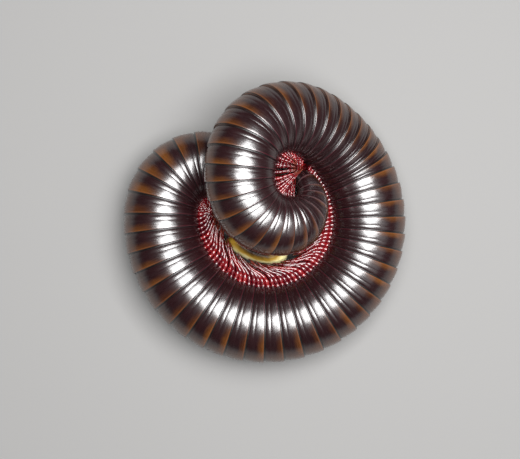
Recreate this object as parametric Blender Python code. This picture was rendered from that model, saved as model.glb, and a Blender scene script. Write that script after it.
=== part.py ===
"""Giant african millipede, life size, curled up on its left side with its tail coiled on top.

The animal is a rounded body of some seventy rings along one path. Everything is placed along
that path: s is the distance in millimetres from the leftmost point of the outer loop, growing
towards the tail. Sizes below are in millimetres and become metres when a mesh is made.
"""
import math

import bmesh
import bpy
from mathutils import Vector

MM = 0.001
GAP = 0.3

# Where the path starts, the leftmost point of the outer loop, with the origin under the middle.
START_X = -24.5
START_Y = 1.47
START_BEND = 25.6
PATH_STEP = 0.1
BEND_STEPS = 5
# The path as stretches of length and bend radius at the end, the bend changing evenly between.
TOWARDS_TAIL = (
    (36.0, 24.6), (30.0, 24.0), (26.0, 26.5), (10.0, 24.0), (7.0, 11.4), (11.0, 10.2),
    (8.0, 20.0), (10.0, 10.6), (7.0, 8.0), (5.0, 7.3), (6.0, 5.6), (8.0, 8.0),
)
TOWARDS_HEAD = ((3.0, 14.0), (12.0, 9.4), (8.0, 15.0), (12.0, 14.0), (10.0, 13.0))

# The body's radius at places along the path, widest a third of the way back.
RADIUS_AT = (
    (-42.0, 7.2), (-36.0, 7.6), (-20.0, 8.2), (0.0, 9.3), (20.0, 9.6), (80.0, 9.1), (100.0, 8.9),
    (120.0, 8.7), (138.0, 8.2), (145.0, 7.5), (150.0, 6.7), (154.0, 5.0), (158.0, 3.4), (161.0, 2.6),
    (164.0, 1.9),
)
# Ring length at places along the path: rings telescope where the body bends sharply.
PITCH_AT = (
    (-32.0, 2.7), (-15.0, 3.0), (0.0, 3.6), (42.0, 3.6), (62.0, 3.15), (90.0, 3.0),
    (106.0, 2.5), (122.0, 2.8), (136.0, 2.8), (146.0, 2.2), (156.0, 1.7), (162.0, 1.3),
)
# The raised tail coil climbs from the floor, peaks and dips into the middle of the coil.
RISE_FROM = 88.0
PEAK_AT = 128.0
PEAK_Z = 26.2
TAIL_DROP = 12.0

COLLUM_FRONT = -41.2
COLLUM_REAR = -36.0
RINGS_END = 161.0
TAIL_TIP = 164.0

SIDES = 20
FRONT_STEP = 0.955
FRONT_SHARE = 0.16
BELLY_FLATTENING = 0.06
FLOOR_TRIM = 0.5
MOST_BEND = 44.0
MOST_RINGS = 7

# The collum, the smooth shield behind the head: distance back and share of the full radius.
COLLUM_OUTLINE = ((0.0, 0.88), (0.4, 0.94), (1.6, 0.98), (3.4, 0.99))
# The head in slices forwards: distance, half depth, half width and shift towards the belly.
HEAD_SLICES = (
    (0.0, 6.2, 6.0, 0.3), (1.5, 7.0, 6.4, 0.5), (3.2, 7.9, 6.4, 1.2), (5.2, 7.0, 5.9, 0.9),
    (6.8, 5.6, 4.9, -0.2), (7.6, 4.4, 3.8, -0.9), (8.1, 2.8, 2.4, -1.6), (8.3, 1.2, 1.1, -1.9),
)
HEAD_SIDES = 24
HEAD_RIM = 1.2
FACE_SLANT = 0.6
MOUTH_AHEAD = 3.6
MOUTH_WIDTH = 4.6
MOUTH_DEPTH = 0.8
MOUTH_GAP = 0.5
# Places on the head: distance forwards and angle from the belly side up each flank.
EYE_PLACE = (2.6, 122.0)
EYE_RADIUS = 0.9
EYE_HEIGHT = 0.75
# Share of the eye's height and of its radius there.
EYE_DOME = ((0.0, 1.0), (0.6, 0.95), (0.85, 0.7), (1.0, 0.35))
ANTENNA_PLACE = (2.2, 50.0)
ANTENNA_RADII = (0.48, 0.42, 0.46, 0.40, 0.44, 0.38, 0.40, 0.36, 0.34)
ANTENNA_LENGTH = 5.4
ANTENNA_SIDES = 8
ANTENNA_TURN_AFTER = 4
ANTENNA_BACKWARD = 0.9
SOCKET_MARGIN = 0.35
SOCKET_DEPTH = 0.6
SOCKET_CLEAR = 2.0
SMALL_SIDES = 10
# The last piece: distance back and share of the radius there, with the slit between its valves.
TAIL_OUTLINE = ((0.15, 1.0), (1.1, 0.97), (2.0, 0.84), (2.6, 0.55), (2.9, 0.25))
VALVE_SLIT = 0.4
VALVE_SLIT_DEPTH = 0.7

# The two rows of legs along the belly, one leg a side for each ring that has room for it.
LEG_LENGTH = 7.6
LEG_ROW_ANGLE = 17.0
LEG_ROOT_SHARE = 0.86
# Each stretch of a leg: share of its length, lean to the head and splay in degrees.
LEG_STRETCHES = ((0.24, 15.0, 16.0), (0.4, 48.0, 8.0), (0.36, 37.0, -8.0))
LEG_HALF_WIDTHS = (0.45, 0.45, 0.36, 0.28, 0.14)
LEG_SIDES = 4
LEG_SPACING = 1.5
LEGS_FULL_AT = 9.0
LEG_CHECKS = 5
OTHER_COIL_STEPS = 8
FULL_LEAN_ROOM = 13.0
# Legs of the tail coil stand straight inwards, as they lie in its middle.
STRAIGHT_FROM = 104.0
STRAIGHT_WITHIN = 16.0
TAIL_LEAN = 0.25
REACH_SHARE = 0.62
SHORTEST_LEG = 1.2
LEG_DRAW_IN = 0.3
SPACE_BETWEEN_COILS = 0.4
SPACE_BETWEEN_LEGS = 0.32
OTHER_COIL_FROM = 9.0


def clear_scene():
    """Starts from an empty scene."""
    for thing in list(bpy.data.objects):
        bpy.data.objects.remove(thing, do_unlink=True)


def keyed(keys, s):
    """A smooth value between (place, value) keys that never overshoots them."""
    if s <= keys[0][0]:
        return keys[0][1]
    if s >= keys[-1][0]:
        return keys[-1][1]
    i = 1
    while keys[i][0] < s:
        i += 1

    def rate(j):
        return (keys[j][1] - keys[j - 1][1]) / (keys[j][0] - keys[j - 1][0])

    def slope(j):
        if j == 0 or j == len(keys) - 1 or rate(j) * rate(j + 1) <= 0:
            return 0.0
        return 2 * rate(j) * rate(j + 1) / (rate(j) + rate(j + 1))

    span = keys[i][0] - keys[i - 1][0]
    t = (s - keys[i - 1][0]) / span
    start = keys[i - 1][1] * (2 * t ** 3 - 3 * t ** 2 + 1) + keys[i][1] * (3 * t ** 2 - 2 * t ** 3)
    return start + span * (slope(i - 1) * (t ** 3 - 2 * t ** 2 + t) + slope(i) * (t ** 3 - t ** 2))


def eased(t):
    """Runs smoothly from 0 to 1."""
    t = min(1.0, max(0.0, t))
    return t * t * (3 - 2 * t)


def radius(s):
    """The body's radius at s."""
    return keyed(RADIUS_AT, s)


def height(s):
    """The axis lies so that the lower flank touches the floor, then climbs to the tail coil."""
    resting = radius(s) * math.cos(math.pi / SIDES)
    if s < RISE_FROM:
        return resting
    if s < PEAK_AT:
        return resting + (PEAK_Z - resting) * eased((s - RISE_FROM) / (PEAK_AT - RISE_FROM))
    return PEAK_Z - TAIL_DROP * ((s - PEAK_AT) / (TAIL_TIP - PEAK_AT)) ** 2


def walk(heading, stretches, side):
    """Steps along the floor plan; side is 1 to turn left and -1 to turn right."""
    x, y = START_X, START_Y
    bend = 1 / START_BEND
    steps = [(x, y, heading)]
    for length, end_radius in stretches:
        count = round(length / PATH_STEP)
        change = (1 / end_radius - bend) / count
        for i in range(count):
            turn = side * (bend + change * (i + 0.5)) * PATH_STEP
            heading += turn / 2
            x += math.cos(heading) * PATH_STEP
            y += math.sin(heading) * PATH_STEP
            heading += turn / 2
            steps.append((x, y, heading))
        bend = 1 / end_radius
    return steps


class Spine:
    """The body's axis, sampled at every step, with its frame at any place."""

    def __init__(self):
        back = walk(-math.pi / 2, TOWARDS_TAIL, 1)
        front = walk(math.pi / 2, TOWARDS_HEAD, -1)
        self.first = -PATH_STEP * (len(front) - 1)
        plan = front[:0:-1] + back
        self.points = []
        for i, (x, y, _) in enumerate(plan):
            self.points.append(Vector((x, y, height(self.first + i * PATH_STEP))))

    def index(self, s):
        """The sample nearest to s."""
        return min(len(self.points) - 2, max(1, round((s - self.first) / PATH_STEP)))

    def at(self, s):
        """Centre, direction to the tail, to the belly and to the upper flank."""
        i = self.index(s)
        along = (self.points[i + 1] - self.points[i - 1]).normalized()
        offset = s - self.first - i * PATH_STEP
        belly = Vector((-along.y, along.x, 0)).normalized()
        return self.points[i] + along * offset, along, belly, along.cross(belly)

    def bend_radius(self, s):
        """Radius of the plan's bend at s."""
        i = min(len(self.points) - BEND_STEPS - 1, max(BEND_STEPS, self.index(s)))
        before = (self.points[i] - self.points[i - BEND_STEPS]).xy
        after = (self.points[i + BEND_STEPS] - self.points[i]).xy
        return BEND_STEPS * PATH_STEP / abs(before.angle_signed(after))


def section(spine, s, share, at=None):
    """Points round the body at s, or of that size in the plane of another place."""
    centre, along, belly, up = spine.at(s if at is None else at)
    if at is not None:
        centre = centre + along * (s - at)
    points = []
    for i in range(SIDES):
        angle = (i + 0.5) * 2 * math.pi / SIDES - math.pi / 2
        size = radius(s) * share * (1 - BELLY_FLATTENING * max(0.0, math.cos(angle)) ** 2)
        point = centre + belly * size * math.cos(angle) + up * size * math.sin(angle)
        if point.z < FLOOR_TRIM:
            point.z = 0.0
        points.append(point)
    return points


def loft(name, sections):
    """A closed body through sections of equally many points."""
    mesh = bmesh.new()
    rings = [[mesh.verts.new(point * MM) for point in points] for points in sections]
    count = len(rings[0])
    for one, other in zip(rings, rings[1:]):
        for i in range(count):
            j = (i + 1) % count
            mesh.faces.new((one[i], one[j], other[j], other[i]))
    mesh.faces.new(rings[0][::-1])
    mesh.faces.new(rings[-1])
    bmesh.ops.recalc_face_normals(mesh, faces=mesh.faces)
    data = bpy.data.meshes.new(name)
    mesh.to_mesh(data)
    mesh.free()
    thing = bpy.data.objects.new(name, data)
    bpy.context.scene.collection.objects.link(thing)
    return thing


def keep_largest(thing):
    """Keeps the largest closed surface of a fused body."""
    mesh = bmesh.new()
    mesh.from_mesh(thing.data)
    unseen = set(mesh.faces)
    shells = []
    while unseen:
        shell = set()
        front = [unseen.pop()]
        while front:
            face = front.pop()
            shell.add(face)
            near = {other for edge in face.edges for other in edge.link_faces} & unseen
            unseen -= near
            front.extend(near)
        shells.append(shell)
    shells.sort(key=lambda shell: sum(face.calc_area() for face in shell))
    loose = [face for shell in shells[:-1] for face in shell]
    bmesh.ops.delete(mesh, geom=loose, context="FACES")
    mesh.to_mesh(thing.data)
    mesh.free()


def combine(thing, pieces, operation):
    """Joins pieces to a body, or cuts them from it, and removes them."""
    group = bpy.data.collections.new(thing.name + "_pieces")
    bpy.context.scene.collection.children.link(group)
    for piece in pieces:
        group.objects.link(piece)
    change = thing.modifiers.new(operation, "BOOLEAN")
    change.operation = operation
    change.solver = "EXACT"
    change.operand_type = "COLLECTION"
    change.collection = group
    graph = bpy.context.evaluated_depsgraph_get()
    result = bpy.data.meshes.new_from_object(thing.evaluated_get(graph))
    thing.modifiers.clear()
    thing.data = result
    for piece in pieces:
        bpy.data.objects.remove(piece, do_unlink=True)
    bpy.data.collections.remove(group)
    keep_largest(thing)


def material(name, colour, roughness):
    """A plain coloured finish."""
    finish = bpy.data.materials.new(name)
    finish.use_nodes = True
    shader = finish.node_tree.nodes["Principled BSDF"]
    shader.inputs["Base Color"].default_value = (*colour, 1.0)
    shader.inputs["Roughness"].default_value = roughness
    return finish


def dress(thing, finish):
    """Gives a body its finish and smooth shading with its edges kept."""
    thing.data.materials.clear()
    thing.data.materials.append(finish)
    thing.data.shade_smooth()
    thing.data.set_sharp_from_angle(angle=math.radians(30))


def ring_edges():
    """Where each ring ends, from the collum's rear edge to the tail."""
    edges = [COLLUM_REAR]
    while edges[-1] + keyed(PITCH_AT, edges[-1]) < RINGS_END:
        edges.append(edges[-1] + keyed(PITCH_AT, edges[-1]))
    edges[-1] = RINGS_END
    return edges


def body_lengths(spine, edges):
    """Groups the rings into lengths that bend or hold no more than a few rings do."""
    lengths = []
    first = 0
    turned = 0.0
    for i in range(1, len(edges)):
        middle = (edges[i] + edges[i - 1]) / 2
        turned += math.degrees((edges[i] - edges[i - 1]) / spine.bend_radius(middle))
        if turned > MOST_BEND or i - first >= MOST_RINGS:
            lengths.append(edges[first:i + 1])
            first = i
            turned = 0.0
    if first < len(edges) - 1:
        lengths.append(edges[first:])
    return lengths


def inner_room(spine, s):
    """Distance from the belly to the middle of the bend at s."""
    return max(0.0, spine.bend_radius(s) - radius(s) * (1 - BELLY_FLATTENING))


def leg_points(spine, s, side, length):
    """The joints of one leg, from inside the body to the tip; less lean where the bend is tight."""
    centre, along, belly, up = spine.at(s)
    row = math.radians(LEG_ROW_ANGLE)
    root = belly * math.cos(row) + up * side * math.sin(row)
    skin = radius(s) * (1 - BELLY_FLATTENING)
    leaning = min(1.0, inner_room(spine, s) / FULL_LEAN_ROOM)
    leaning *= 1 - (1 - TAIL_LEAN) * eased((s - STRAIGHT_FROM) / STRAIGHT_WITHIN)
    points = [centre + root * skin * LEG_ROOT_SHARE, centre + root * skin]
    for share, lean, splay in LEG_STRETCHES:
        lean, splay = math.radians(lean * leaning), math.radians(splay)
        inwards = belly * math.cos(splay) + up * side * math.sin(splay)
        step = inwards * math.cos(lean) - along * math.sin(lean)
        points.append(points[-1] + step * share * length)
    return points


def leg_samples(points, widths):
    """Places along a leg with its half width there, for keeping it clear of other things."""
    samples = []
    for i in range(1, len(points) - 1):
        for j in range(LEG_CHECKS + 1):
            t = j / LEG_CHECKS
            place = points[i].lerp(points[i + 1], t)
            samples.append((place, widths[i] + (widths[i + 1] - widths[i]) * t))
    return samples


def is_clear(spine, s, samples, taken):
    """Whether a leg keeps off the floor, the other coils and what is already there."""
    for place, half in samples:
        if place.z < half + GAP:
            return False
        for i in range(0, len(spine.points), OTHER_COIL_STEPS):
            there = spine.first + i * PATH_STEP
            if abs(there - s) > OTHER_COIL_FROM and there < TAIL_TIP:
                room = (spine.points[i] - place).length - radius(there) - half
                if room < SPACE_BETWEEN_COILS:
                    return False
        for other, other_half in taken:
            reach = half + other_half + SPACE_BETWEEN_LEGS
            if abs(other.x - place.x) < reach and (other - place).length < reach:
                return False
    return True


def legs(spine, edges, name, taken):
    """Two rows of legs on one length of body, each drawn in until it is clear."""
    pieces = []
    samples_here = []
    last = edges[0] - LEG_SPACING
    for front, rear in zip(edges, edges[1:]):
        s = (front + rear) / 2
        room = inner_room(spine, s)
        slim = min(1.0, radius(s) / LEGS_FULL_AT)
        if (s - last) * room / spine.bend_radius(s) < LEG_SPACING * slim:
            continue
        widths = [half * slim for half in LEG_HALF_WIDTHS]
        for side in (-1, 1):
            length = min(LEG_LENGTH * radius(s) / LEGS_FULL_AT, room * REACH_SHARE)
            while length > SHORTEST_LEG:
                points = leg_points(spine, s, side, length)
                samples = leg_samples(points, widths)
                if is_clear(spine, s, samples, taken):
                    pieces.append(tube(f"{name}_leg", points, widths, LEG_SIDES))
                    samples_here.extend(samples)
                    last = s
                    break
                length -= LEG_DRAW_IN
    taken.extend(samples_here)
    return pieces


def body_length(spine, edges, name, taken):
    """One length of ringed body with its share of the legs."""
    sections = []
    last = len(edges) - 2
    for i in range(len(edges) - 1):
        front, rear = edges[i], edges[i + 1]
        pitch = rear - front
        if i == 0:
            sections.append(section(spine, front + GAP / 2, FRONT_STEP, at=front))
        else:
            sections.append(section(spine, front + FRONT_SHARE * pitch, FRONT_STEP))
        if i == last:
            sections.append(section(spine, rear - GAP / 2, 1.0, at=rear))
        else:
            sections.append(section(spine, rear, 1.0))
    body = loft(name, sections)
    pieces = legs(spine, edges, name, taken)
    if pieces:
        combine(body, pieces, "UNION")
    return body


def collum(spine):
    """The smooth shield between head and rings."""
    sections = [section(spine, COLLUM_FRONT + back, share) for back, share in COLLUM_OUTLINE]
    sections.append(section(spine, COLLUM_REAR - GAP / 2, 1.0, at=COLLUM_REAR))
    return loft("collum", sections)


def tube(name, points, radii, sides, first_along=None):
    """A tapering tube through points; its first face may be set square to a given direction."""
    sections = []
    guide = None
    for i, point in enumerate(points):
        along = (points[min(i + 1, len(points) - 1)] - points[max(i - 1, 0)]).normalized()
        if i == 0 and first_along:
            along = first_along
        if guide is None:
            guide = along.orthogonal()
        guide = (guide - along * guide.dot(along)).normalized()
        other = along.cross(guide)
        turns = [2 * math.pi * (j + 0.5) / sides for j in range(sides)]
        sections.append([
            point + radii[i] * (guide * math.cos(a) + other * math.sin(a)) for a in turns
        ])
    return loft(name, sections)


class Head:
    """The head's own frame: forwards, to the belly and to the upper flank."""

    def __init__(self, spine):
        centre, along, self.belly, self.up = spine.at(COLLUM_FRONT)
        self.forward = -along
        self.base = centre + self.forward * GAP

    def place(self, ahead, degrees):
        """A point on the head's surface and the direction out of it."""
        i = 1
        while HEAD_SLICES[i][0] < ahead:
            i += 1
        one, other = HEAD_SLICES[i - 1], HEAD_SLICES[i]
        t = (ahead - one[0]) / (other[0] - one[0])
        depth, width, shift = (a + (b - a) * t for a, b in zip(one[1:], other[1:]))
        turn = math.radians(degrees)
        side = self.belly * depth * math.cos(turn) + self.up * width * math.sin(turn)
        point = self.base + self.forward * ahead + self.belly * shift + side
        taper = (one[1] - other[1]) / (other[0] - one[0])
        out = self.belly * math.cos(turn) / depth + self.up * math.sin(turn) / width
        return point, (out.normalized() + self.forward * taper * FACE_SLANT).normalized()

    def solid(self):
        """The head capsule before its sockets are cut."""
        slices = []
        for ahead, depth, width, shift in HEAD_SLICES:
            points = []
            for i in range(HEAD_SIDES):
                turn = -2 * math.pi * i / HEAD_SIDES
                side = self.belly * depth * math.cos(turn) + self.up * width * math.sin(turn)
                points.append(self.base + self.forward * ahead + self.belly * shift + side)
            slices.append(points)
        return loft("head", slices)


def socket(point, out, radius_here):
    """A round cutter that leaves a flat floor below the surface."""
    ends = [point - out * SOCKET_DEPTH, point + out * SOCKET_CLEAR]
    return tube("socket", ends, [radius_here + SOCKET_MARGIN] * 2, SMALL_SIDES, out)


def eye(head, name, side):
    """A low dome standing on its socket's floor."""
    point, out = head.place(EYE_PLACE[0], side * EYE_PLACE[1])
    floor = point - out * (SOCKET_DEPTH - GAP)
    points = [floor + out * EYE_HEIGHT * rise for rise, _ in EYE_DOME]
    radii = [EYE_RADIUS * share for _, share in EYE_DOME]
    return tube(name, points, radii, SMALL_SIDES, out), socket(point, out, EYE_RADIUS)


def antenna(head, name, side):
    """A short beaded feeler that leaves its socket and lies back along the belly side."""
    point, out = head.place(ANTENNA_PLACE[0], side * ANTENNA_PLACE[1])
    points = [point - out * (SOCKET_DEPTH - GAP)]
    count = len(ANTENNA_RADII)
    stride = ANTENNA_LENGTH / (count - 1)
    for i in range(1, count):
        back = eased((i - 1) / ANTENNA_TURN_AFTER)
        heading = out * (1 - back) + (head.belly - head.forward * ANTENNA_BACKWARD) * back
        points.append(points[-1] + heading.normalized() * stride)
    feeler = tube(name, points, ANTENNA_RADII, ANTENNA_SIDES, out)
    return feeler, socket(point, out, ANTENNA_RADII[0])


def box(name, centre, axes, sizes):
    """A box along three given directions."""
    ends = []
    for along in (-0.5, 0.5):
        corners = ((-0.5, -0.5), (0.5, -0.5), (0.5, 0.5), (-0.5, 0.5))
        ends.append([
            centre + axes[0] * sizes[0] * along + axes[1] * sizes[1] * a + axes[2] * sizes[2] * b
            for a, b in corners
        ])
    return loft(name, ends)


def head_space(spine):
    """Round places that fill the head's rim, for the legs to keep off."""
    head = Head(spine)
    places = []
    for ahead, depth, width, shift in HEAD_SLICES[:-1]:
        for i in range(HEAD_SIDES):
            turn = 2 * math.pi * i / HEAD_SIDES
            side = head.belly * (depth - HEAD_RIM) * math.cos(turn)
            side += head.up * (width - HEAD_RIM) * math.sin(turn)
            middle = head.base + head.forward * (ahead - HEAD_RIM) + head.belly * shift
            places.append((middle + side, HEAD_RIM))
    return places


def head_nodes(spine):
    """The head with its mouth, eyes and antennae."""
    head = Head(spine)
    capsule = head.solid()
    nodes = [capsule]
    cutters = []
    for name, side in (("left", -1), ("right", 1)):
        for make, kind in ((eye, "eye_"), (antenna, "antenna_")):
            piece, cutter = make(head, kind + name, side)
            nodes.append(piece)
            cutters.append(cutter)
    lips, out = head.place(MOUTH_AHEAD, 0.0)
    axes = (head.up, out, out.cross(head.up))
    cutters.append(box("mouth", lips, axes, (MOUTH_WIDTH, 2 * MOUTH_DEPTH, MOUTH_GAP)))
    combine(capsule, cutters, "DIFFERENCE")
    return nodes


def tail_end(spine):
    """The last ring and the two valves that close the tail."""
    sections = []
    for back, share in TAIL_OUTLINE:
        sections.append(section(spine, RINGS_END + back, share, at=RINGS_END))
    tail = loft("tail_end", sections)
    centre, along, belly, up = spine.at(RINGS_END)
    tip = centre + along * TAIL_OUTLINE[-1][0]
    slit = (3 * VALVE_SLIT_DEPTH, 2 * radius(RINGS_END), VALVE_SLIT)
    cutter = box("slit", tip + along * VALVE_SLIT_DEPTH / 2, (along, belly, up), slit)
    combine(tail, [cutter], "DIFFERENCE")
    return tail


def main():
    clear_scene()
    spine = Spine()
    brown = material("body_shell", (0.03, 0.014, 0.011), 0.2)
    olive = material("collum_shell", (0.10, 0.06, 0.02), 0.25)
    black = material("eye_lens", (0.01, 0.01, 0.01), 0.15)
    red = material("feeler", (0.18, 0.02, 0.015), 0.3)
    finishes = {"head": olive, "eye": black, "antenna": red}
    for thing in head_nodes(spine):
        dress(thing, finishes[thing.name.split("_")[0]])
    dress(collum(spine), olive)
    dress(tail_end(spine), brown)
    taken = head_space(spine)
    for number, edges in enumerate(body_lengths(spine, ring_edges()), 1):
        body = body_length(spine, edges, f"body_{number:02d}", taken)
        dress(body, brown)


main()
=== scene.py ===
"""Giant african millipede curled up on its side, as the photograph shows it from above.

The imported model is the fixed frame. One continuous ringed skin stands for the body's lengths and
follows the same path, with its legs, collum, head, eyes, feelers and tail made finely on it.
Sizes are in millimetres along the body and become metres when a mesh is made.
"""
import math
import random

import bpy
import numpy as np
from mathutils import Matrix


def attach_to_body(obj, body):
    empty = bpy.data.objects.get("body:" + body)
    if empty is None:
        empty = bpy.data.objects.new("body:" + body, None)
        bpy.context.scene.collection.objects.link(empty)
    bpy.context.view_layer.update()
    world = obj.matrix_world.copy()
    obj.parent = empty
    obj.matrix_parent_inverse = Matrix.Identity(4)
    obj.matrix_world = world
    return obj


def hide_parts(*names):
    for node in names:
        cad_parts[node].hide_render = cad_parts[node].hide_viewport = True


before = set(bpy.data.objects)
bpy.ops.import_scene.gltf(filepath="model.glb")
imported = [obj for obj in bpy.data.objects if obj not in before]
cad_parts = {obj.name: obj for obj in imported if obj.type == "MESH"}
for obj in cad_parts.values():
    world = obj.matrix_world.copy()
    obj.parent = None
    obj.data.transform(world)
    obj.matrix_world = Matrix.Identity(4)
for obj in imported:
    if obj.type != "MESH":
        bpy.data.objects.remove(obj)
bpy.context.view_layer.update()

MM = 0.001
BODY = "root"

# The body's path as the solids have it. Places along it count from the left of the coil to the tail.
# A stretch of it is a length and the radius of the bend at its end.
START_X = -24.5
START_Y = 1.47
START_BEND = 25.6
PATH_STEP = 0.1
TOWARDS_TAIL = (
    (36.0, 24.6), (30.0, 24.0), (26.0, 26.5), (10.0, 24.0), (7.0, 11.4), (11.0, 10.2),
    (8.0, 20.0), (10.0, 10.6), (7.0, 8.0), (5.0, 7.3), (6.0, 5.6), (8.0, 8.0),
)
TOWARDS_HEAD = ((3.0, 14.0), (12.0, 9.4), (8.0, 15.0), (12.0, 14.0), (10.0, 13.0))
# Place along the body with its radius there, and place with the length of a ring there.
RADIUS_AT = (
    (-42.0, 7.2), (-36.0, 7.6), (-20.0, 8.2), (0.0, 9.3), (20.0, 9.6), (80.0, 9.1), (100.0, 8.9),
    (120.0, 8.7), (138.0, 8.2), (145.0, 7.5), (150.0, 6.7), (154.0, 5.0), (158.0, 3.4), (161.0, 2.6),
    (164.0, 1.9),
)
PITCH_AT = (
    (-32.0, 2.7), (-15.0, 3.0), (0.0, 3.6), (42.0, 3.6), (62.0, 3.15), (90.0, 3.0),
    (106.0, 2.5), (122.0, 2.8), (136.0, 2.8), (146.0, 2.2), (156.0, 1.7), (162.0, 1.3),
)
# The axis climbs from one place to the other, and then drops by so much to the tail's tip.
RISE_FROM = 88.0
PEAK_AT = 128.0
PEAK_Z = 26.2
TAIL_DROP = 12.0
COLLUM_FRONT = -41.2
COLLUM_REAR = -36.0
RINGS_END = 161.0
TAIL_TIP = 164.0
SOLID_SIDES = 20

# One ring's outline: share of its length from the front, share of the full radius.
RING_OUTLINE = (
    (0.0, 0.950), (0.04, 0.955), (0.10, 0.966), (0.20, 0.976), (0.30, 0.982), (0.34, 0.981),
    (0.37, 0.978), (0.40, 0.982), (0.46, 0.988), (0.58, 0.993), (0.70, 0.997), (0.82, 0.999),
    (0.91, 1.0), (0.96, 0.999), (0.985, 0.995), (1.0, 0.982),
)
# The rounded end: distance behind the last ring, share of the full radius.
TAIL_OUTLINE = ((0.2, 0.93), (0.9, 0.95), (1.6, 0.9), (2.2, 0.76), (2.6, 0.55), (2.85, 0.3))
TAIL_PAINT_PLACE = 0.3
TAIL_TONE = 0.5
BELLY_FLATTENING = 0.02
BELLY_CHANNEL = 0.03
CHANNEL_WIDTH = 0.3
AROUND = 144
# Rings shorter than this on the inside of a bend have shallower steps, down to the least share.
FULL_RELIEF_PITCH = 1.6
LEAST_RELIEF = 0.1
RING_SEED = 5
# The paint's pattern is laid out flat round a body of this radius, and shifted by up to this for a ring.
PAINT_RADIUS = 9.0
PAINT_SHIFT = 50.0

# Legs: two pairs on a ring, but one pair on the first three and in the tail coil, none on the last two.
LEG_LENGTH = 9.0
LEG_ROW_ANGLE = 12.0
LEG_ROOT_SHARE = 0.88
# A leg's stretches: share of its length, lean to the head and splay from its row in degrees.
LEG_STRETCHES = ((0.26, 14.0, 18.0), (0.4, 54.0, 8.0), (0.34, 46.0, -10.0))
LEG_PLACES = (0.3, 0.8)
SINGLE_PAIR_RINGS = 3
LEGLESS_RINGS = 2
ONE_PAIR_FROM = 108.0
LEGS_FULL_AT = 9.0
FULL_LEAN_ROOM = 13.0
REACH_SHARE = 0.8
LEAST_REACH = 2.0
SHORTEST_LEG = 1.2
LEG_TRIM = 0.4
# Past its hip a leg keeps this space to the coils that are further than this along the body.
HIP_PART = 0.25
COIL_SPACE = 0.15
OTHER_COIL_FROM = 14.0
PATH_STEPS_TESTED = 5
LEG_SEED = 11
# Share of a leg's full length where the left of the big coil draws its legs in.
LEG_LENGTH_AT = ((-2.0, 0.66), (8.0, 0.70), (20.0, 1.0))
SWAY_DEGREES = 6.0
SPLAY_DEGREES = 5.0
# Where each piece of a leg ends, and its half width there, from hip to claw.
LEG_JOINTS = ((0.0, 0.56), (0.14, 0.60), (0.28, 0.52), (0.44, 0.40), (0.62, 0.33), (0.80, 0.26),
              (0.95, 0.17), (1.0, 0.05))
# The pieces near the hip are pinched deeper at their joints than the slender ones after them.
KNOTTY_TO = 0.3
KNOTTY_PINCH = 0.5
SLENDER_PINCH = 0.34
PINCH_START = 0.08
PINCH_SHAPE = 0.7
PIECE_SWELL = 1.08
LEG_AROUND = 10
LEG_CUTS = 5
# Directions that no limb or eye follows, to start their own frames from.
LIMB_GUIDE = (0.31, 0.42, 0.85)
DOME_GUIDE = (0.3, 0.5, 0.8)
# Legs of the tail coil stand straight inwards and are drawn to its middle: the shares are of the
# distance to that middle.
STRAIGHT_FROM = 104.0
STRAIGHT_WITHIN = 16.0
TAIL_LEAN = 0.25
COIL_MIDDLE = (9.0, 12.3)
MEETING_DROP = 1.5
MEETING_PULL = 0.75
MEETING_SHARES = ((112.0, 0.62), (128.0, 0.72), (140.0, 0.95), (150.0, 1.1))
TAIL_LEG_SLIMNESS = 0.25

# The collum: distance back from its front edge, share of the full radius.
COLLUM_OUTLINE = ((0.0, 0.86), (0.0, 0.93), (0.15, 0.965), (0.4, 0.975), (0.8, 0.972), (1.6, 0.985),
                  (2.8, 0.992), (4.0, 0.997), (4.8, 1.0), (5.05, 1.0), (5.2, 0.985), (5.2, 0.9))
LOBE_REACH = 1.6
LOBE_SHAPE = 1.5
LOBE_FADE = 4.8

# The head in slices forwards: distance, half depth, half width and shift towards the belly.
HEAD_SLICES = (
    (0.0, 6.2, 6.0, 0.3), (1.5, 7.0, 6.4, 0.5), (3.2, 7.9, 6.4, 1.2), (5.2, 7.0, 5.9, 0.9),
    (6.8, 5.6, 4.9, -0.2), (7.6, 4.4, 3.8, -0.9), (8.1, 2.8, 2.4, -1.6), (8.3, 1.2, 1.1, -1.9),
)
HEAD_CUTS = 48
HEAD_GAP = 0.3
CHEEK_AHEAD = 3.6
CHEEK_DEGREES = 42.0
CHEEK_SWELL = 0.05
CHEEK_LENGTH = 1.4
CHEEK_SPREAD = 0.5
HEAD_PAINT_RADIUS = 6.0
# Eyes and feelers: distance ahead and degrees round the head from its belly side.
EYE_PLACE = (2.6, 122.0)
EYE_RADIUS = 0.9
EYE_RISE = 0.45
EYE_SINK = 0.25
EYE_ROWS = 6
OCELLUS_RADIUS = 0.13
OCELLUS_SPACING = 0.25
OCELLUS_SINK = 0.03
ANTENNA_PLACE = (2.2, 50.0)
ANTENNA_LENGTH = 5.4
ANTENNA_BACKWARD = 0.9
ANTENNA_TURN_AFTER = 0.5
ANTENNA_SINK = 0.3
ANTENNA_STEPS = 24
ANTENNA_TONE = 0.4
# Where each piece of a feeler ends with its half width there.
ANTENNA_JOINTS = ((0.0, 0.40), (0.10, 0.46), (0.30, 0.44), (0.47, 0.43), (0.62, 0.42), (0.77, 0.42),
                  (0.91, 0.40), (1.0, 0.22))

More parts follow.
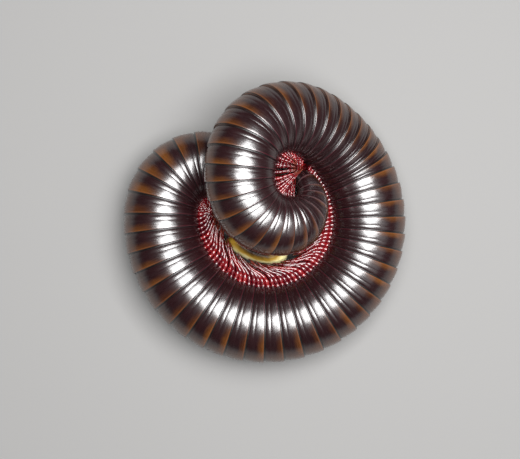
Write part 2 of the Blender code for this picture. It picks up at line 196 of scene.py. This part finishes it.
# Colours. A pair is what a patchy paint goes between.
SHELL_DARK = ((0.0055, 0.0013, 0.0017), (0.0130, 0.0030, 0.0038))
SHELL_BROWN = ((0.030, 0.008, 0.002), (0.085, 0.028, 0.004))
SHELL_BACK = (0.065, 0.018, 0.003)
RIM_AMBER = (0.16, 0.055, 0.014)
RIM_WINE = (0.030, 0.0030, 0.006)
# Pale rims on the last tail rings, a painted highlight on their edges.
TAIL_RIM_HIGHLIGHT = (0.060, 0.026, 0.028)
# Near black, painted as shade in the grooves where each ring slips under the one before.
GROOVE_SHADE_BLACK = (0.0008, 0.0004, 0.0004)
LEG_REDS = ((0.062, 0.0015, 0.0042), (0.155, 0.0046, 0.0062))
LEG_TIP = (0.10, 0.022, 0.012)
LEG_PATCH = (0.035, 0.002, 0.005)
COLLUM_GOLD = ((0.05, 0.026, 0.006), (0.10, 0.055, 0.012))
COLLUM_DARK = (0.012, 0.005, 0.004)
COLLUM_RIM = (0.30, 0.20, 0.06)
HEAD_GOLD = ((0.10, 0.050, 0.007), (0.45, 0.26, 0.035))
# Dark brown of the head's back, also used as painted shade on its flanks.
HEAD_BROWN_AND_SHADE = (0.016, 0.007, 0.004)
# Pale mouth rim, brightened as a painted highlight.
HEAD_RIM_AND_HIGHLIGHT = (0.95, 0.85, 0.42)
HEAD_SPECK = (0.02, 0.008, 0.004)
LENS_BLACK = ((0.004, 0.003, 0.003), (0.018, 0.010, 0.008))
FLOOR_COLOUR = (0.165, 0.163, 0.160)
WORLD_COLOUR = (0.92, 0.92, 1.0)
COAT_ROUGHNESS = 0.1

# The photograph's view from above, in millimetres.
CAMERA_X = -1.1
CAMERA_Y = -1.31
CAMERA_Z = 360.0
CAMERA_LENS = 101.2
# Lamps by name: place and size in metres, power in watts.
LIGHTS = (
    ("key", (0.065, 0.045, 0.445), 0.33, 7.2),
    ("right", (0.36, -0.20, 0.45), 0.40, 0.4),
)
WORLD_STRENGTH = 0.03
FLOOR_SIZE = 3.0


def eased(t):
    """Runs smoothly from 0 to 1."""
    t = np.clip(t, 0.0, 1.0)
    return t * t * (3 - 2 * t)


def keyed(keys, s):
    """A smooth value between (place, value) keys that never overshoots them."""
    places, values = (np.array(column) for column in zip(*keys))
    rate = np.diff(values) / np.diff(places)
    slope = np.zeros(len(keys))
    same = rate[:-1] * rate[1:] > 0
    total = np.where(same, rate[:-1] + rate[1:], 1.0)
    slope[1:-1] = np.where(same, 2 * rate[:-1] * rate[1:] / total, 0.0)
    s = np.clip(s, places[0], places[-1])
    i = np.clip(np.searchsorted(places, s, side="right"), 1, len(keys) - 1)
    span = places[i] - places[i - 1]
    t = (s - places[i - 1]) / span
    value = values[i - 1] * (2 * t ** 3 - 3 * t ** 2 + 1) + values[i] * (3 * t ** 2 - 2 * t ** 3)
    return value + span * (slope[i - 1] * (t ** 3 - 2 * t ** 2 + t) + slope[i] * (t ** 3 - t ** 2))


def radius(s):
    """The body's radius at s."""
    return keyed(RADIUS_AT, s)


def height(s):
    """The axis rests on the floor side, climbs to the tail coil and dips into its middle."""
    resting = radius(s) * math.cos(math.pi / SOLID_SIDES)
    rising = resting + (PEAK_Z - resting) * eased((s - RISE_FROM) / (PEAK_AT - RISE_FROM))
    falling = PEAK_Z - TAIL_DROP * ((s - PEAK_AT) / (TAIL_TIP - PEAK_AT)) ** 2
    return np.where(s < PEAK_AT, rising, falling)


def walk(heading, stretches, side):
    """Steps along the floor plan; side is 1 to turn left and -1 to turn right."""
    x, y = START_X, START_Y
    bend = 1 / START_BEND
    steps = [(x, y)]
    for length, end_radius in stretches:
        count = round(length / PATH_STEP)
        change = (1 / end_radius - bend) / count
        for i in range(count):
            turn = side * (bend + change * (i + 0.5)) * PATH_STEP
            heading += turn / 2
            x += math.cos(heading) * PATH_STEP
            y += math.sin(heading) * PATH_STEP
            heading += turn / 2
            steps.append((x, y))
        bend = 1 / end_radius
    return steps


def unit(vectors):
    """Vectors made one long."""
    return vectors / np.linalg.norm(vectors, axis=-1, keepdims=True)


class Spine:
    """The body's axis with its frame: along to the tail, to the belly and to the upper flank."""

    def __init__(self):
        back = walk(-math.pi / 2, TOWARDS_TAIL, 1)
        front = walk(math.pi / 2, TOWARDS_HEAD, -1)
        plan = np.array(front[:0:-1] + back)
        first = -PATH_STEP * (len(front) - 1)
        self.s = first + PATH_STEP * np.arange(len(plan))
        self.points = np.column_stack([plan, height(self.s)])
        self.along = unit(np.gradient(self.points, axis=0))
        self.belly = unit(np.column_stack([-self.along[:, 1], self.along[:, 0], 0 * self.s]))
        self.up = np.cross(self.along, self.belly)
        turn = np.unwrap(np.arctan2(self.along[:, 1], self.along[:, 0]))
        self.bend = 1 / np.maximum(1e-3, np.abs(np.gradient(turn, self.s)))

    def rows(self, table, s):
        """A table's rows interpolated at s."""
        return np.column_stack([np.interp(s, self.s, column) for column in table.T])

    def at(self, s):
        """Centre, along, belly and up at each s."""
        s = np.atleast_1d(s)
        return tuple(self.rows(t, s) for t in (self.points, self.along, self.belly, self.up))

    def here(self, s):
        """Centre, along, belly and up at one place."""
        return tuple(rows[0] for rows in self.at(s))

    def bend_at(self, s):
        """The bend's radius at s."""
        return np.interp(s, self.s, self.bend)


spine = Spine()


def turns(count):
    """Angles once round in equal steps."""
    return np.arange(count) * 2 * math.pi / count


def ring_edges():
    """Where each ring ends, from the collum's rear edge to the tail."""
    edges = [COLLUM_REAR]
    while edges[-1] + keyed(PITCH_AT, edges[-1]) < RINGS_END:
        edges.append(edges[-1] + float(keyed(PITCH_AT, edges[-1])))
    edges[-1] = RINGS_END
    return edges


def make_mesh(name, points, faces, values=None):
    """An object from points in millimetres, with values kept on its points for the paint."""
    mesh = bpy.data.meshes.new(name)
    mesh.from_pydata([tuple(p) for p in np.asarray(points) * MM], [], faces)
    for key, numbers in (values or {}).items():
        numbers = np.asarray(numbers, dtype=np.float32)
        kind = "FLOAT_VECTOR" if numbers.ndim == 2 else "FLOAT"
        layer = mesh.attributes.new(key, kind, "POINT")
        layer.data.foreach_set("vector" if numbers.ndim == 2 else "value", numbers.ravel())
    mesh.shade_smooth()
    mesh.update()
    thing = bpy.data.objects.new(name, mesh)
    bpy.context.scene.collection.objects.link(thing)
    return thing


def tube_faces(sections, around, first=0, ends=True):
    """Faces of a tube of sections, each a loop of points, with its ends closed."""
    faces = []
    for i in range(sections - 1):
        a = first + i * around
        for j in range(around):
            k = (j + 1) % around
            faces.append((a + j, a + k, a + around + k, a + around + j))
    if ends:
        last = first + (sections - 1) * around
        faces.append(tuple(range(first + around - 1, first - 1, -1)))
        faces.append(tuple(range(last, last + around)))
    return faces


def body_surface(s, share, angles, relief=True):
    """Points round the body at each s, its outline sizes scaled by share."""
    centre, along, belly, up = spine.at(s)
    size = radius(s)[:, None]
    bend = spine.bend_at(s)[:, None]
    cosine, sine = np.cos(angles), np.sin(angles)
    depth = 1 - share[:, None]
    if relief:
        room = (1 - np.clip(cosine, -1, 1) * size / bend) * keyed(PITCH_AT, s)[:, None]
        depth = depth * np.clip(room / FULL_RELIEF_PITCH, LEAST_RELIEF, 1.0)
    away = np.abs((angles + math.pi) % (2 * math.pi) - math.pi)
    form = 1 - BELLY_FLATTENING * np.maximum(0, cosine) ** 2
    form = form - BELLY_CHANNEL * np.exp(-(away / CHANNEL_WIDTH) ** 2)
    size = size * (1 - depth) * form
    points = centre[:, None] + (size * cosine)[..., None] * belly[:, None]
    points = points + (size * sine)[..., None] * up[:, None]
    points[..., 2] = np.maximum(points[..., 2], 0.0)
    return points


def body_skin(edges):
    """The rings from collum to tail as one surface."""
    rng = random.Random(RING_SEED)
    s, share, ring, tone = [], [], [], []
    for front, rear in zip(edges, edges[1:]):
        ring_tone = rng.random()
        for t, size in RING_OUTLINE:
            s.append(front + t * (rear - front))
            share.append(size)
            ring.append(t)
            tone.append(ring_tone)
    for back, size in TAIL_OUTLINE:
        s.append(RINGS_END + back)
        share.append(size)
        ring.append(TAIL_PAINT_PLACE)
        tone.append(TAIL_TONE)
    angles = turns(AROUND)
    points = body_surface(np.array(s), np.array(share), angles)
    tone = np.repeat(tone, AROUND)
    values = {
        "ring": np.repeat(ring, AROUND),
        "tone": tone,
        "back": np.tile(-np.cos(angles), len(s)),
        "lie": np.column_stack([
            np.repeat(s, AROUND),
            np.tile(angles * PAINT_RADIUS, len(s)),
            tone * PAINT_SHIFT,
        ]),
    }
    faces = tube_faces(len(s), AROUND)
    return make_mesh("body_skin", points.reshape(-1, 3), faces, values)


def belly_skin(s):
    """How far the belly's skin lies from the axis."""
    return radius(s) * (1 - BELLY_FLATTENING)


def coiled(s):
    """How much a place belongs to the tail coil, from 0 to 1."""
    return float(eased((s - STRAIGHT_FROM) / STRAIGHT_WITHIN))


def leg_scale(s):
    """The size of a leg at s, which shrinks with the body."""
    return min(1.0, radius(s) / LEGS_FULL_AT)


def leg_joints(s, side, length, rng):
    """The joints of one leg, leaning to the head, or meeting in the middle of the tail coil."""
    centre, along, belly, up = spine.here(s)
    row = math.radians(LEG_ROW_ANGLE)
    root = belly * math.cos(row) + up * side * math.sin(row)
    skin = belly_skin(s)
    room = max(0.0, float(spine.bend_at(s)) - skin)
    middle = np.array([*COIL_MIDDLE, (centre + root * skin)[2] - MEETING_DROP])
    leaning = min(1.0, room / FULL_LEAN_ROOM) * (1 - (1 - TAIL_LEAN) * coiled(s))
    pull = MEETING_PULL * coiled(s)
    points = [centre + root * skin * LEG_ROOT_SHARE, centre + root * skin]
    sway = rng.uniform(-SWAY_DEGREES, SWAY_DEGREES)
    for share, lean, splay in LEG_STRETCHES:
        lean = math.radians(lean * leaning + sway)
        splay = math.radians(splay + rng.uniform(-SPLAY_DEGREES, SPLAY_DEGREES))
        inwards = belly * math.cos(splay) + up * side * math.sin(splay)
        meeting = unit(middle - points[-1])
        inwards = unit(inwards * (1 - pull) + meeting * pull)
        heading = inwards * math.cos(lean) - along * math.sin(lean)
        points.append(points[-1] + heading * share * length)
    return np.array(points)


def leg_reach(s):
    """How long a leg at s may be: as far as the bend's middle leaves room."""
    slim = leg_scale(s)
    room = max(0.0, float(spine.bend_at(s)) - belly_skin(s)) * REACH_SHARE
    if s > STRAIGHT_FROM + STRAIGHT_WITHIN:
        centre, _, belly, _ = spine.here(s)
        to_middle = np.array(COIL_MIDDLE) - (centre + belly * belly_skin(s))[:2]
        room = float(keyed(MEETING_SHARES, s)) * float(np.linalg.norm(to_middle))
    return min(LEG_LENGTH * slim * float(keyed(LEG_LENGTH_AT, s)), max(room, LEAST_REACH * slim))


def rounded(points, rounds=2):
    """A line through points with its corners cut."""
    for _ in range(rounds):
        cut = [points[0]]
        for a, b in zip(points, points[1:]):
            cut += [a * 0.75 + b * 0.25, a * 0.25 + b * 0.75]
        points = np.array(cut + [points[-1]])
    return points


def resampled(points, shares):
    """Places along a line at shares of its length."""
    reach = np.concatenate([[0], np.cumsum(np.linalg.norm(np.diff(points, axis=0), axis=1))])
    reach /= reach[-1]
    return np.column_stack([np.interp(shares, reach, column) for column in points.T])


def is_clear(s, places, halves, head):
    """Whether a leg keeps off the floor, the head and the other coils."""
    if (places[:, 2] - halves).min() < 0 or head.holds(places, halves):
        return False
    far = (np.abs(spine.s - s) > OTHER_COIL_FROM) & (spine.s > COLLUM_FRONT)
    others = np.flatnonzero(far)[::PATH_STEPS_TESTED]
    gaps = np.linalg.norm(places[:, None] - spine.points[others], axis=-1)
    gaps -= radius(spine.s[others]) + halves[:, None]
    return gaps.min() > COIL_SPACE


def swept(places, halves, around):
    """Sections of a tube of given half widths along places."""
    along = unit(np.gradient(places, axis=0))
    guide = unit(np.cross(along, LIMB_GUIDE))[:, None]
    other = np.cross(along[:, None], guide)
    turn = turns(around)[None, :, None]
    circle = np.cos(turn) * guide + np.sin(turn) * other
    return places[:, None] + circle * halves[:, None, None]


def jointed(joints):
    """Shares of a limb's length with the half width there, pinched at each joint."""
    shares, halves = [], []
    for (start, one), (end, other) in zip(joints, joints[1:]):
        pinch = KNOTTY_PINCH if start < KNOTTY_TO else SLENDER_PINCH
        for i in range(LEG_CUTS):
            t = i / LEG_CUTS
            wave = math.sin(math.pi * (PINCH_START + (1 - PINCH_START) * t))
            swell = PIECE_SWELL - pinch + pinch * wave ** PINCH_SHAPE
            shares.append(start + (end - start) * t)
            halves.append((one + (other - one) * t) * swell)
    shares.append(1.0)
    halves.append(joints[-1][1])
    return np.array(shares), np.array(halves)


def grown_leg(s, side, shares, halves, rng, head):
    """The line of a leg, made shorter until nothing is in its way, or None."""
    hip = int(HIP_PART * len(shares))
    length = leg_reach(s)
    while length > SHORTEST_LEG:
        line = resampled(rounded(leg_joints(s, side, length, rng)), shares)
        if is_clear(s, line[hip:], halves[hip:], head):
            return line
        length -= LEG_TRIM
    return None


def leg_places(edges):
    """Where along the body the pairs of legs stand."""
    walking = list(zip(edges, edges[1:]))[:-LEGLESS_RINGS]
    for number, (front, rear) in enumerate(walking):
        single = number < SINGLE_PAIR_RINGS or front > ONE_PAIR_FROM
        for place in LEG_PLACES[:1] if single else LEG_PLACES:
            yield front + place * (rear - front)


def legs(edges, head):
    """All the walking legs as one piece."""
    rng = random.Random(LEG_SEED)
    shares, halves = jointed(LEG_JOINTS)
    count = len(shares) * LEG_AROUND
    points, faces, tone = [], [], []
    for s in leg_places(edges):
        thin = halves * leg_scale(s) * (1 - TAIL_LEG_SLIMNESS * coiled(s))
        for side in (-1, 1):
            line = grown_leg(s, side, shares, thin, rng, head)
            if line is None:
                continue
            faces += tube_faces(len(shares), LEG_AROUND, first=len(points) * count)
            points.append(swept(line, thin, LEG_AROUND).reshape(-1, 3))
            tone.append(rng.random())
    values = {
        "out": np.tile(np.repeat(shares, LEG_AROUND), len(points)),
        "tone": np.repeat(tone, count),
    }
    return make_mesh("legs", np.concatenate(points), faces, values)


def collum():
    """The smooth shield behind the head, its side lobes reaching forwards past its middle."""
    angles = turns(AROUND)
    back, share = (np.array(column) for column in zip(*COLLUM_OUTLINE))
    points = body_surface(COLLUM_FRONT + back, share, angles, relief=False)
    lobe = LOBE_REACH * np.abs(np.sin(angles)) ** LOBE_SHAPE
    fade = np.clip(1 - back / LOBE_FADE, 0, 1)[:, None] * lobe
    points = points - fade[..., None] * spine.here(COLLUM_FRONT)[1]
    points[..., 2] = np.maximum(points[..., 2], 0.0)
    values = {"ring": np.repeat(back / (COLLUM_REAR - COLLUM_FRONT), AROUND)}
    return make_mesh("collum_shell", points.reshape(-1, 3), tube_faces(len(back), AROUND), values)


class Head:
    """The head's own frame: forwards, to the belly and to the upper flank."""

    def __init__(self):
        centre, along, self.belly, self.up = spine.here(COLLUM_FRONT)
        self.forward = -along
        self.base = centre + self.forward * HEAD_GAP

    def sizes(self, ahead):
        """Half depth, half width and shift at places ahead."""
        return [keyed([(row[0], row[k]) for row in HEAD_SLICES], ahead) for k in (1, 2, 3)]

    def holds(self, places, halves):
        """Whether any of the places lies in the head."""
        offset = places - self.base
        ahead = offset @ self.forward
        depth, width, shift = self.sizes(np.maximum(ahead, 0))
        reach = HEAD_SLICES[-1][0]
        inside = ((offset @ self.belly - shift) / (depth + halves)) ** 2
        inside += (offset @ self.up / (width + halves)) ** 2
        return bool(np.any((inside < 1) & (ahead > -1) & (ahead < reach + halves)))

    def place(self, ahead, degrees):
        """A point on the surface with the direction out of it."""
        depth, width, shift = self.sizes(np.array(ahead))
        turn = math.radians(degrees)
        side = self.belly * depth * math.cos(turn) + self.up * width * math.sin(turn)
        out = unit(self.belly * math.cos(turn) / depth + self.up * math.sin(turn) / width)
        return self.base + self.forward * ahead + self.belly * shift + side, out

    def skin(self):
        """The capsule with its cheeks, closed smoothly over the face."""
        reach = HEAD_SLICES[-1][0]
        ahead = reach * np.sin(np.linspace(0, math.pi / 2, HEAD_CUTS))
        depth, width, shift = self.sizes(ahead)
        turn = turns(AROUND)
        away = np.abs(math.pi - np.abs(math.pi - turn) - math.radians(CHEEK_DEGREES))
        along_cheek = np.exp(-((ahead - CHEEK_AHEAD) / CHEEK_LENGTH) ** 2)
        swell = 1 + CHEEK_SWELL * np.outer(along_cheek, np.exp(-(away / CHEEK_SPREAD) ** 2))
        points = self.base + ahead[:, None, None] * self.forward + shift[:, None, None] * self.belly
        points = points + (swell * np.outer(depth, np.cos(turn)))[..., None] * self.belly
        points = points - (swell * np.outer(width, np.sin(turn)))[..., None] * self.up
        points[..., 2] = np.maximum(points[..., 2], 0.0)
        lie = [np.repeat(ahead, AROUND), np.tile(-turn * HEAD_PAINT_RADIUS, HEAD_CUTS)]
        values = {
            "ahead": np.repeat(ahead / reach, AROUND),
            "rise": np.outer(width / width.max(), np.sin(turn)).ravel(),
            "lie": np.column_stack([*lie, np.zeros(HEAD_CUTS * AROUND)]),
        }
        return make_mesh("head_skin", points.reshape(-1, 3), tube_faces(HEAD_CUTS, AROUND), values)


def dome(centre, out, size, rise, rows=4, around=10):
    """Points and faces of a small dome standing on centre."""
    guide = unit(np.cross(out, DOME_GUIDE))
    other = np.cross(out, guide)
    points = []
    for i in range(rows):
        lift = math.pi / 2 * i / rows
        for j in range(around):
            turn = 2 * math.pi * j / around
            flat = guide * math.cos(turn) + other * math.sin(turn)
            points.append(centre + flat * size * math.cos(lift) + out * rise * math.sin(lift))
    points.append(centre + out * rise)
    faces = tube_faces(rows, around, ends=False)
    last = (rows - 1) * around
    faces += [(last + j, last + (j + 1) % around, rows * around) for j in range(around)]
    faces.append(tuple(range(around - 1, -1, -1)))
    return points, faces


def eye(head, name, side):
    """A patch of small round lenses in rows on a low dome."""
    point, out = head.place(EYE_PLACE[0], side * EYE_PLACE[1])
    across = unit(np.cross(out, head.forward))
    ahead = np.cross(across, out)
    points, faces = dome(point - out * EYE_SINK, out, EYE_RADIUS, EYE_RISE, rows=6, around=24)
    for row in range(-EYE_ROWS, EYE_ROWS + 1):
        for column in range(-EYE_ROWS, EYE_ROWS + 1):
            x = (column + row / 2) * OCELLUS_SPACING
            y = row * OCELLUS_SPACING * math.sqrt(0.75)
            distance = math.hypot(x, y)
            if distance > EYE_RADIUS - OCELLUS_RADIUS:
                continue
            lift = EYE_RISE * math.sqrt(1 - (distance / EYE_RADIUS) ** 2) - EYE_SINK - OCELLUS_SINK
            centre = point + across * x + ahead * y + out * lift
            lens, lens_faces = dome(centre, out, OCELLUS_RADIUS, OCELLUS_RADIUS)
            faces += [tuple(corner + len(points) for corner in face) for face in lens_faces]
            points += lens
    return make_mesh(name, np.array(points), faces)


def antenna(head, name, side):
    """A beaded feeler that leaves the head and lies back beside it."""
    point, out = head.place(ANTENNA_PLACE[0], side * ANTENNA_PLACE[1])
    points = [point - out * ANTENNA_SINK]
    for i in range(ANTENNA_STEPS):
        back = float(eased(i / ANTENNA_STEPS / ANTENNA_TURN_AFTER))
        heading = out * (1 - back) + (head.belly - head.forward * ANTENNA_BACKWARD) * back
        points.append(points[-1] + unit(heading) * ANTENNA_LENGTH / ANTENNA_STEPS)
    shares, halves = jointed(ANTENNA_JOINTS)
    line = resampled(np.array(points), shares)
    rings = swept(line, halves, LEG_AROUND)
    values = {
        "out": np.repeat(shares, LEG_AROUND),
        "tone": np.full(len(shares) * LEG_AROUND, ANTENNA_TONE),
    }
    return make_mesh(name, rings.reshape(-1, 3), tube_faces(len(shares), LEG_AROUND), values)


class Paint:
    """Builds one node material step by step."""

    def __init__(self, name):
        self.material = bpy.data.materials.new(name)
        self.material.use_nodes = True
        self.nodes = self.material.node_tree.nodes
        self.links = self.material.node_tree.links
        self.shader = self.nodes["Principled BSDF"]

    def node(self, kind, settings=None, **inputs):
        """A node with its settings and its inputs, each a value or another node's output."""
        node = self.nodes.new(kind)
        for key, value in (settings or {}).items():
            setattr(node, key, value)
        for key, value in inputs.items():
            self.plug(node, key.replace("_", " "), value)
        return node

    def plug(self, node, key, value):
        """Sets or links one input, by its name or by i and its number."""
        numbered = key[:1] == "i" and key[1:].isdigit()
        socket = node.inputs[int(key[1:]) if numbered else key]
        if isinstance(value, bpy.types.NodeSocket):
            self.links.new(value, socket)
        else:
            socket.default_value = value

    def read(self, name, kind="Fac"):
        """A value kept on the mesh."""
        return self.node("ShaderNodeAttribute", {"attribute_name": name}).outputs[kind]

    def place(self):
        """Places in the piece's own space."""
        return self.node("ShaderNodeTexCoord").outputs["Object"]

    def sum(self, operation, a, b=0.0, c=0.0):
        """Arithmetic on numbers or outputs."""
        return self.node("ShaderNodeMath", {"operation": operation}, i0=a, i1=b, i2=c).outputs[0]

    def stirred(self, value, noise, amount):
        """A value moved up and down by a noise, by amount in all."""
        return self.sum("ADD", value, self.sum("MULTIPLY_ADD", noise, amount, -amount / 2))

    def ramp(self, value, low, high, to_low=0.0, to_high=1.0):
        """A smooth step from low to high."""
        settings = {"interpolation_type": "SMOOTHSTEP"}
        limits = {"From_Min": low, "From_Max": high, "To_Min": to_low, "To_Max": to_high}
        return self.node("ShaderNodeMapRange", settings, Value=value, **limits).outputs["Result"]

    def mix(self, share, one, other):
        """Two colours mixed by a share."""
        node = self.node("ShaderNodeMix", {"data_type": "RGBA"})
        for key, value in (("i0", share), ("i6", one), ("i7", other)):
            if isinstance(value, tuple):
                value = (*value, 1.0)
            self.plug(node, key, value)
        return node.outputs[2]

    def noise(self, where, scale, detail=3.0, rough=0.5, stretch=(1, 1, 1)):
        """Cloudy noise between 0 and 1, stretched along the axes of where."""
        place = self.node("ShaderNodeMapping", Vector=where, Scale=stretch).outputs[0]
        node = self.node("ShaderNodeTexNoise", Vector=place, Scale=scale, Detail=detail, Roughness=rough)
        return node.outputs["Fac"]

    def finish(self, colour, roughness, bump, depth, coat=0.0, ior=1.65):
        """Connects the paint to the shader."""
        self.plug(self.shader, "Base Color", colour)
        self.plug(self.shader, "Roughness", roughness)
        self.plug(self.shader, "Coat Weight", coat)
        self.plug(self.shader, "Coat Roughness", COAT_ROUGHNESS)
        self.plug(self.shader, "IOR", ior)
        relief = self.node("ShaderNodeBump", Height=bump, Strength=1.0, Distance=depth * MM)
        self.plug(self.shader, "Normal", relief.outputs[0])
        return self.material


def shell_colour(paint, ring, back, along, patchy, place):
    """Near black, amber behind and on the back, with rims that are wine red on the belly side, and pale
    rims on the last tail rings painted as highlights.
    """
    head_end = paint.ramp(along, 8.0, -8.0, 0.0, 0.14)
    amber = paint.ramp(paint.sum("ADD", place, head_end), 0.55, 0.95)
    amber = paint.sum("MULTIPLY", amber, paint.ramp(back, -0.1, 0.75))
    brown = paint.mix(paint.read("tone"), *SHELL_BROWN)
    colour = paint.mix(amber, paint.mix(patchy, *SHELL_DARK), brown)
    for one, other, tint in (
        (paint.ramp(back, 0.70, 1.0), paint.ramp(place, -0.1, 0.8, 0.3, 1.0), SHELL_BACK),
        (paint.ramp(ring, 0.88, 0.93), paint.ramp(back, -0.3, 0.6, 0.0, 0.35), RIM_AMBER),
        (paint.ramp(ring, 0.86, 0.93), paint.ramp(back, 0.4, -0.5, 0.1, 1.0), RIM_WINE),
        # Painted highlight: pale rims on the rear edges of the last tail rings.
        (paint.ramp(ring, 0.80, 0.90), paint.ramp(along, 144.0, 156.0), TAIL_RIM_HIGHLIGHT),
    ):
        colour = paint.mix(paint.sum("MULTIPLY", one, other), colour, tint)
    return colour


def shell_paint():
    """Glossy rings with near-black joints between them, painted as shade in the grooves, finely lined
    round the body.
    """
    paint = Paint("ring_shell")
    ring, back, lie = paint.read("ring"), paint.read("back"), paint.read("lie", "Vector")
    along = paint.node("ShaderNodeSeparateXYZ", Vector=lie).outputs["X"]
    patchy = paint.noise(lie, 0.35, 4.0, 0.6)
    streaky = paint.noise(lie, 1.0, 5.0, 0.65, (3.5, 0.45, 1))
    fine = paint.noise(lie, 1.0, 3.0, 0.6, (9.0, 1.2, 1))
    place = paint.stirred(paint.stirred(ring, patchy, 0.3), streaky, 0.2)
    groove = paint.sum("MAXIMUM", paint.ramp(ring, 0.10, 0.03), paint.ramp(ring, 0.955, 0.975))
    colour = shell_colour(paint, ring, back, along, patchy, place)
    # The grooves between the rings are painted near black as shade.
    colour = paint.mix(groove, colour, GROOVE_SHADE_BLACK)
    rough = paint.sum("MULTIPLY_ADD", streaky, 0.24, 0.15)
    rough = paint.sum("MULTIPLY_ADD", groove, 0.08, rough)
    bump = paint.sum("MULTIPLY_ADD", fine, 0.35, streaky)
    bump = paint.sum("MULTIPLY_ADD", patchy, 1.2, bump)
    return paint.finish(colour, rough, bump, 0.02, ior=1.82)


def leg_paint():
    """Deep glossy red legs with darker patches and browner tips."""
    paint = Paint("leg_red")
    patchy = paint.noise(paint.place(), 1100.0, 3.0)
    colour = paint.mix(paint.read("tone"), *LEG_REDS)
    colour = paint.mix(paint.ramp(paint.read("out"), 0.7, 1.0), colour, LEG_TIP)
    colour = paint.mix(paint.ramp(patchy, 0.45, 0.75), colour, LEG_PATCH)
    rough = paint.sum("MULTIPLY_ADD", patchy, 0.14, 0.07)
    return paint.finish(colour, rough, patchy, 0.012, ior=1.6)


def collum_paint():
    """Dark olive shield with a golden front rim."""
    paint = Paint("collum_gold")
    ring = paint.read("ring")
    patchy = paint.noise(paint.place(), 260.0, 4.0)
    colour = paint.mix(paint.ramp(ring, 0.12, 0.6), paint.mix(patchy, *COLLUM_GOLD), COLLUM_DARK)
    colour = paint.mix(paint.ramp(ring, 0.10, 0.02), colour, COLLUM_RIM)
    rough = paint.sum("MULTIPLY_ADD", patchy, 0.15, 0.15)
    return paint.finish(colour, rough, patchy, 0.03, coat=0.3)


def head_paint():
    """Golden head, dark brown behind, darkened towards its upper and lower flanks as painted shade, with
    a pale rim at the mouth brightened as a painted highlight, and fine dark specks.
    """
    paint = Paint("head_gold")
    ahead, lie = paint.read("ahead"), paint.read("lie", "Vector")
    patchy = paint.noise(lie, 0.6, 4.0)
    fine = paint.noise(lie, 3.0, 4.0, 0.6)
    level = paint.stirred(paint.sum("ABSOLUTE", paint.read("rise")), patchy, 0.2)
    # Painted shade: the gold darkens and turns dark brown towards the head's upper and lower flanks,
    # where the coil above shades it.
    gold = paint.mix(paint.ramp(level, 0.90, 0.60), *HEAD_GOLD)
    dark = paint.sum("MAXIMUM", paint.ramp(level, 0.68, 0.90), paint.ramp(ahead, 0.25, 0.0))
    colour = paint.mix(dark, gold, HEAD_BROWN_AND_SHADE)
    # Pale rim at the mouth, partly the labrum's own colour and partly a painted highlight.
    rim = paint.sum("MULTIPLY", paint.ramp(level, 0.70, 0.50), paint.ramp(ahead, 0.45, 0.70))
    colour = paint.mix(rim, colour, HEAD_RIM_AND_HIGHLIGHT)
    colour = paint.mix(paint.ramp(fine, 0.66, 0.74), colour, HEAD_SPECK)
    rough = paint.sum("MULTIPLY_ADD", fine, 0.2, 0.14)
    return paint.finish(colour, rough, fine, 0.03, coat=0.4)


def lens_paint():
    """Black shining eye lenses."""
    paint = Paint("eye_black")
    patchy = paint.noise(paint.place(), 2500.0, 2.0)
    rough = paint.sum("MULTIPLY_ADD", patchy, 0.1, 0.08)
    return paint.finish(paint.mix(patchy, *LENS_BLACK), rough, patchy, 0.01, coat=0.5)


def floor_paint():
    """Plain pale floor."""
    paint = Paint("pale_floor")
    paint.plug(paint.shader, "Base Color", (*FLOOR_COLOUR, 1.0))
    paint.plug(paint.shader, "Roughness", 0.8)
    return paint.material


def floor():
    """A plain floor under the animal."""
    bpy.ops.mesh.primitive_plane_add(size=FLOOR_SIZE, location=(0, 0, 0))
    plane = bpy.context.object
    plane.name = "floor"
    plane.data.materials.append(floor_paint())


def add_camera():
    """The camera straight above, as in the photograph."""
    data = bpy.data.cameras.new("camera")
    data.lens = CAMERA_LENS
    data.clip_start = 0.01
    camera = bpy.data.objects.new("camera", data)
    camera.location = (CAMERA_X * MM, CAMERA_Y * MM, CAMERA_Z * MM)
    bpy.context.scene.collection.objects.link(camera)
    bpy.context.scene.camera = camera


def add_lamp(name, place, size, power):
    """A soft square lamp that shines at the animal."""
    data = bpy.data.lights.new(name, "AREA")
    data.shape = "SQUARE"
    data.size = size
    data.energy = power
    lamp = bpy.data.objects.new(name, data)
    lamp.location = place
    x, y, z = place
    lamp.rotation_euler = (math.atan2(math.hypot(x, y), z), 0, math.atan2(-y, -x) - math.pi / 2)
    bpy.context.scene.collection.objects.link(lamp)


def stage():
    """Floor, camera, lamps and the faint light all round."""
    floor()
    add_camera()
    for lamp in LIGHTS:
        add_lamp(*lamp)
    world = bpy.data.worlds.new("studio")
    world.use_nodes = True
    background = world.node_tree.nodes["Background"]
    background.inputs["Color"].default_value = (*WORLD_COLOUR, 1.0)
    background.inputs["Strength"].default_value = WORLD_STRENGTH
    bpy.context.scene.world = world
    bpy.context.scene.view_settings.view_transform = "Standard"


def attach(thing, material, slot, *nodes):
    """Gives a piece its paint, hangs it on the body and hides the nodes that it stands for; slot is not
    used.
    """
    thing.data.materials.append(material)
    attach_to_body(thing, BODY)
    if nodes:
        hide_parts(*nodes)


def main():
    """The stage and every piece with its paint."""
    stage()
    edges = ring_edges()
    lengths = [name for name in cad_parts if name.startswith("body_")]
    attach(body_skin(edges), shell_paint(), "ring_shell", "tail_end", *lengths)
    head, lens, red = Head(), lens_paint(), leg_paint()
    attach(legs(edges, head), red, "limb")
    attach(collum(), collum_paint(), "collum_shell", "collum")
    attach(head.skin(), head_paint(), "head_shell", "head")
    for name, side in (("left", -1), ("right", 1)):
        attach(eye(head, "ocelli_" + name, side), lens, "eye", "eye_" + name)
        attach(antenna(head, "feeler_" + name, side), red, "limb", "antenna_" + name)


main()
